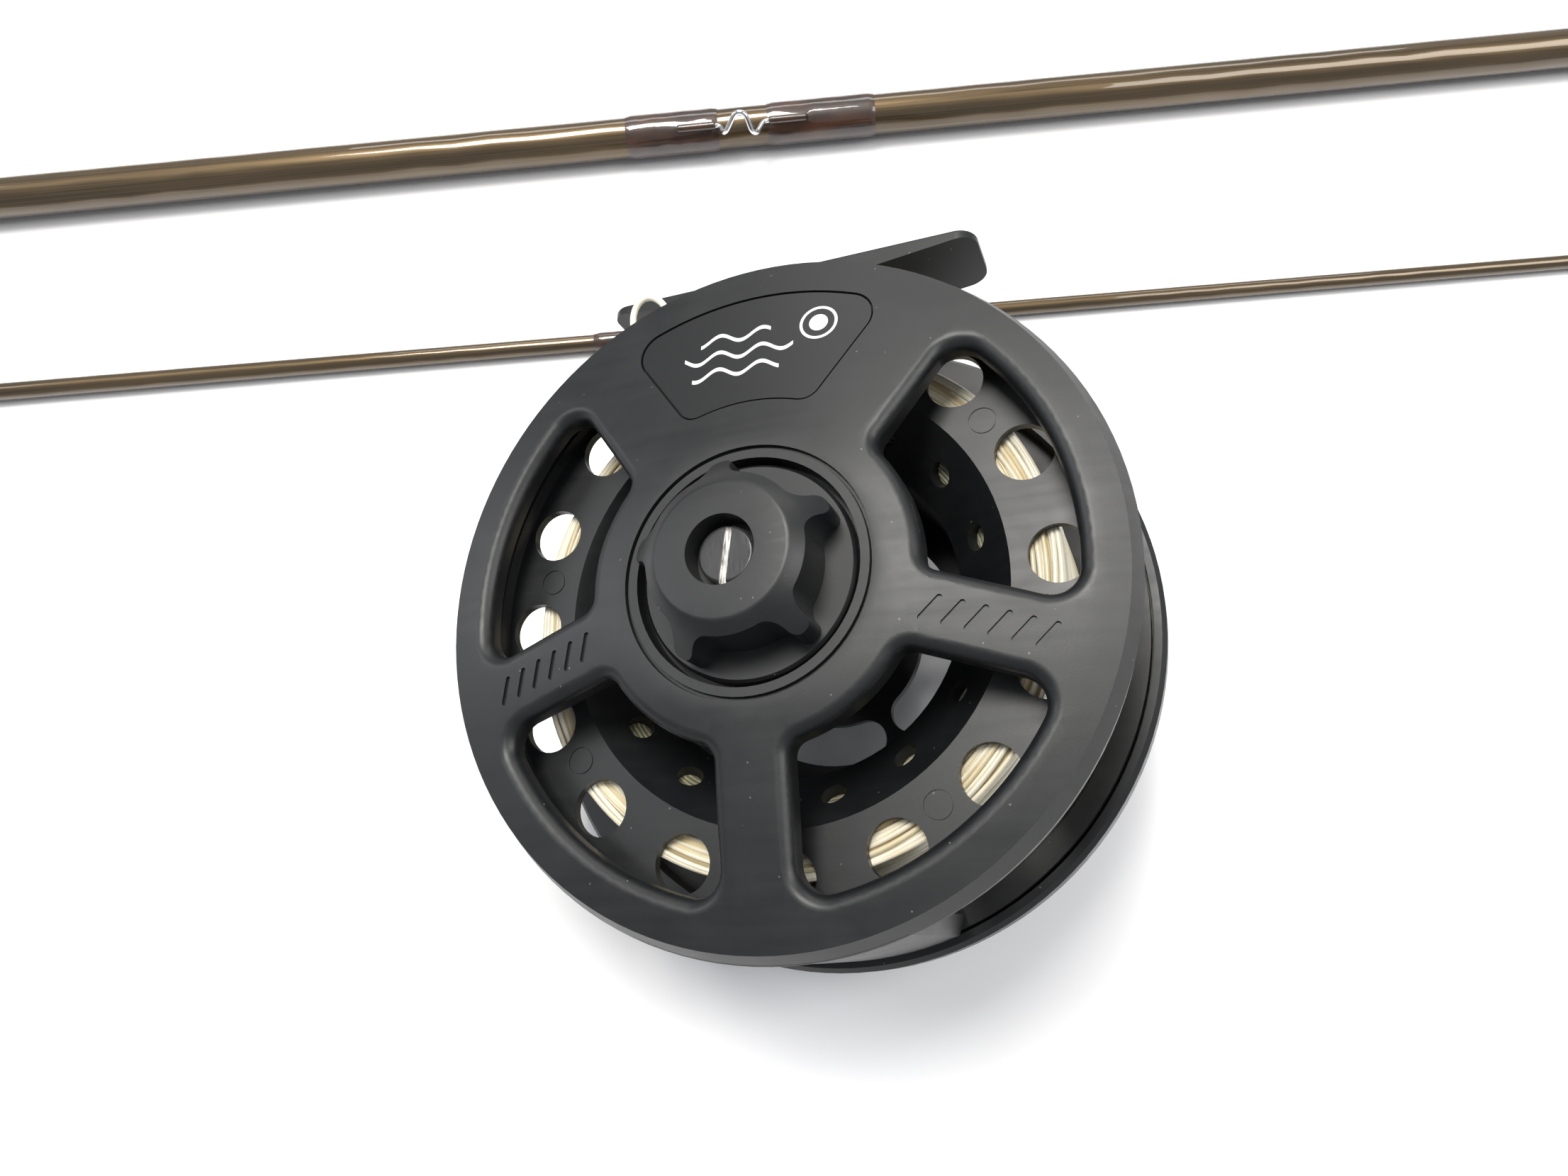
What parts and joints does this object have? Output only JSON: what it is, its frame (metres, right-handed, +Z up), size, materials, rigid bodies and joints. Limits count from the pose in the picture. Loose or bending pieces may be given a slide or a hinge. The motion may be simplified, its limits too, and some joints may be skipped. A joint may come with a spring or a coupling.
{
  "type": "fly fishing rod and reel",
  "caption": "Fly fishing outfit: a large-arbor fly reel with line, lying beside the separate tapered sections of a travel fly rod.",
  "frame": {"origin": "middle of the layout's footprint, on the surface it lies on", "axes": "+Z up, X along the rod sections with their thin ends towards +X, the reel on the -Y side"},
  "size_m": [0.7262, 0.2872, 0.0654],
  "materials": {
    "black_composite": "satin moulded black composite",
    "black_spool": "satin moulded black composite",
    "badge": "smooth satin black with a light wave motif",
    "steel": "turned stainless steel",
    "cork_washer": "pressed cork",
    "brass": "turned brass",
    "black_screw": "blackened steel",
    "fly_line": "ivory coated line",
    "backing": "braided backing",
    "blank": "bronze varnished carbon",
    "whipping": "dark brown thread under epoxy",
    "chrome": "polished chrome wire",
    "cork": "natural cork",
    "seat_metal": "anodised gunmetal",
    "rubber": "matt rubber",
    "ceramic": "polished dark ceramic"
  },
  "bodies": {
    "reel": {"reel_frame": "black_composite", "reel_badge": "badge", "reel_foot": "black_composite", "foot_screws": "black_screw", "spindle": "steel", "drag_washer_rear": "cork_washer", "drag_washer_front": "cork_washer", "pressure_plate": "steel", "retaining_ring": "steel", "clicker_pin": "steel", "clicker_spring": "steel", "drag_spring": "steel", "line_loop": "fly_line"},
    "spool_assembly": {"spool": "black_spool", "backing": "backing", "fly_line": "fly_line", "drag_disc": "steel", "one_way_clutch": "steel", "clicker_gear": "brass", "spool_bush": "brass", "spool_cap": "black_composite", "latch_spring": "steel", "handle_post": "steel", "counterweight": "black_composite"},
    "handle": {"handle_knob": "black_composite"},
    "latch": {"latch_slide": "black_composite"},
    "pawl": {"clicker_pawl": "steel"},
    "knob": {"drag_knob": "black_composite", "drag_nut": "brass", "knob_screw": "black_screw"},
    "butt_section": {"butt_blank": "blank", "cork_grip": "cork", "winding_check": "seat_metal", "seat_barrel": "seat_metal", "fixed_hood": "seat_metal", "butt_cap": "rubber", "stripping_guide": "chrome", "guide_ring": "ceramic", "hook_keeper": "chrome", "butt_whippings": "whipping"},
    "hood": {"sliding_hood": "seat_metal"},
    "nut": {"lock_nut": "seat_metal"},
    "lower_mid_section": {"lower_mid_blank": "blank", "lower_mid_whippings": "whipping", "lower_mid_guide_1": "chrome", "lower_mid_guide_2": "chrome"},
    "upper_mid_section": {"upper_mid_blank": "blank", "upper_mid_whippings": "whipping", "upper_mid_guide_1": "chrome", "upper_mid_guide_2": "chrome", "upper_mid_guide_3": "chrome"},
    "tip_section": {"tip_blank": "blank", "tip_whippings": "whipping", "tip_top": "chrome", "tip_guide_1": "chrome", "tip_guide_2": "chrome", "tip_guide_3": "chrome", "tip_guide_4": "chrome"}
  },
  "joints": [
    {"name": "spool_spin", "type": "hinge", "parent": "reel", "child": "spool_assembly", "pos_m": [-0.01107, -0.0917, 0.0316], "axis": [-0.2931, 0.0236, 0.9558], "continuous": true},
    {"name": "handle_spin", "type": "hinge", "parent": "spool_assembly", "child": "handle", "pos_m": [0.03349, -0.09882, 0.01405], "axis": [-0.2931, 0.0236, 0.9558], "continuous": true},
    {"name": "latch_press", "type": "slide", "parent": "spool_assembly", "child": "latch", "axis": [-0.5227, -0.841, -0.1395], "range_m": [0, 0.0015], "stiffness_N_per_m": 200, "springref_m": -0.0005},
    {"name": "pawl_swing", "type": "hinge", "parent": "reel", "child": "pawl", "pos_m": [-0.00307, -0.07693, 0.0452], "axis": [-0.2931, 0.0236, 0.9558], "range_deg": [-10, 10], "stiffness_Nm_per_rad": 0.002},
    {"name": "drag_turn", "type": "hinge", "parent": "reel", "child": "knob", "pos_m": [-0.01869, -0.09108, 0.05645], "axis": [-0.2931, 0.0236, 0.9558], "range_deg": [-150, 150]},
    {"name": "butt_lift", "type": "slide", "parent": "reel", "child": "butt_section", "axis": [0, 0, 1], "range_m": [0, 0.1]},
    {"name": "hood_slide", "type": "slide", "parent": "butt_section", "child": "hood", "axis": [-0.9999, 0, 0.0152], "range_m": [0, 0.01126]},
    {"name": "nut_turn", "type": "hinge", "parent": "hood", "child": "nut", "pos_m": [-0.33914, 0.13077, 0.01476], "axis": [0.9999, 0, -0.0152], "range_deg": [0, 2700]},
    {"name": "lower_mid_lift", "type": "slide", "parent": "reel", "child": "lower_mid_section", "axis": [0, 0, 1], "range_m": [0, 0.1]},
    {"name": "upper_mid_lift", "type": "slide", "parent": "reel", "child": "upper_mid_section", "axis": [0, 0, 1], "range_m": [0, 0.1]},
    {"name": "tip_lift", "type": "slide", "parent": "reel", "child": "tip_section", "axis": [0, 0, 1], "range_m": [0, 0.1]}
  ],
  "couplings": [
    {"joint": "hood_slide", "follows": "nut_turn", "m_per_rad": 0.00023873}
  ]
}
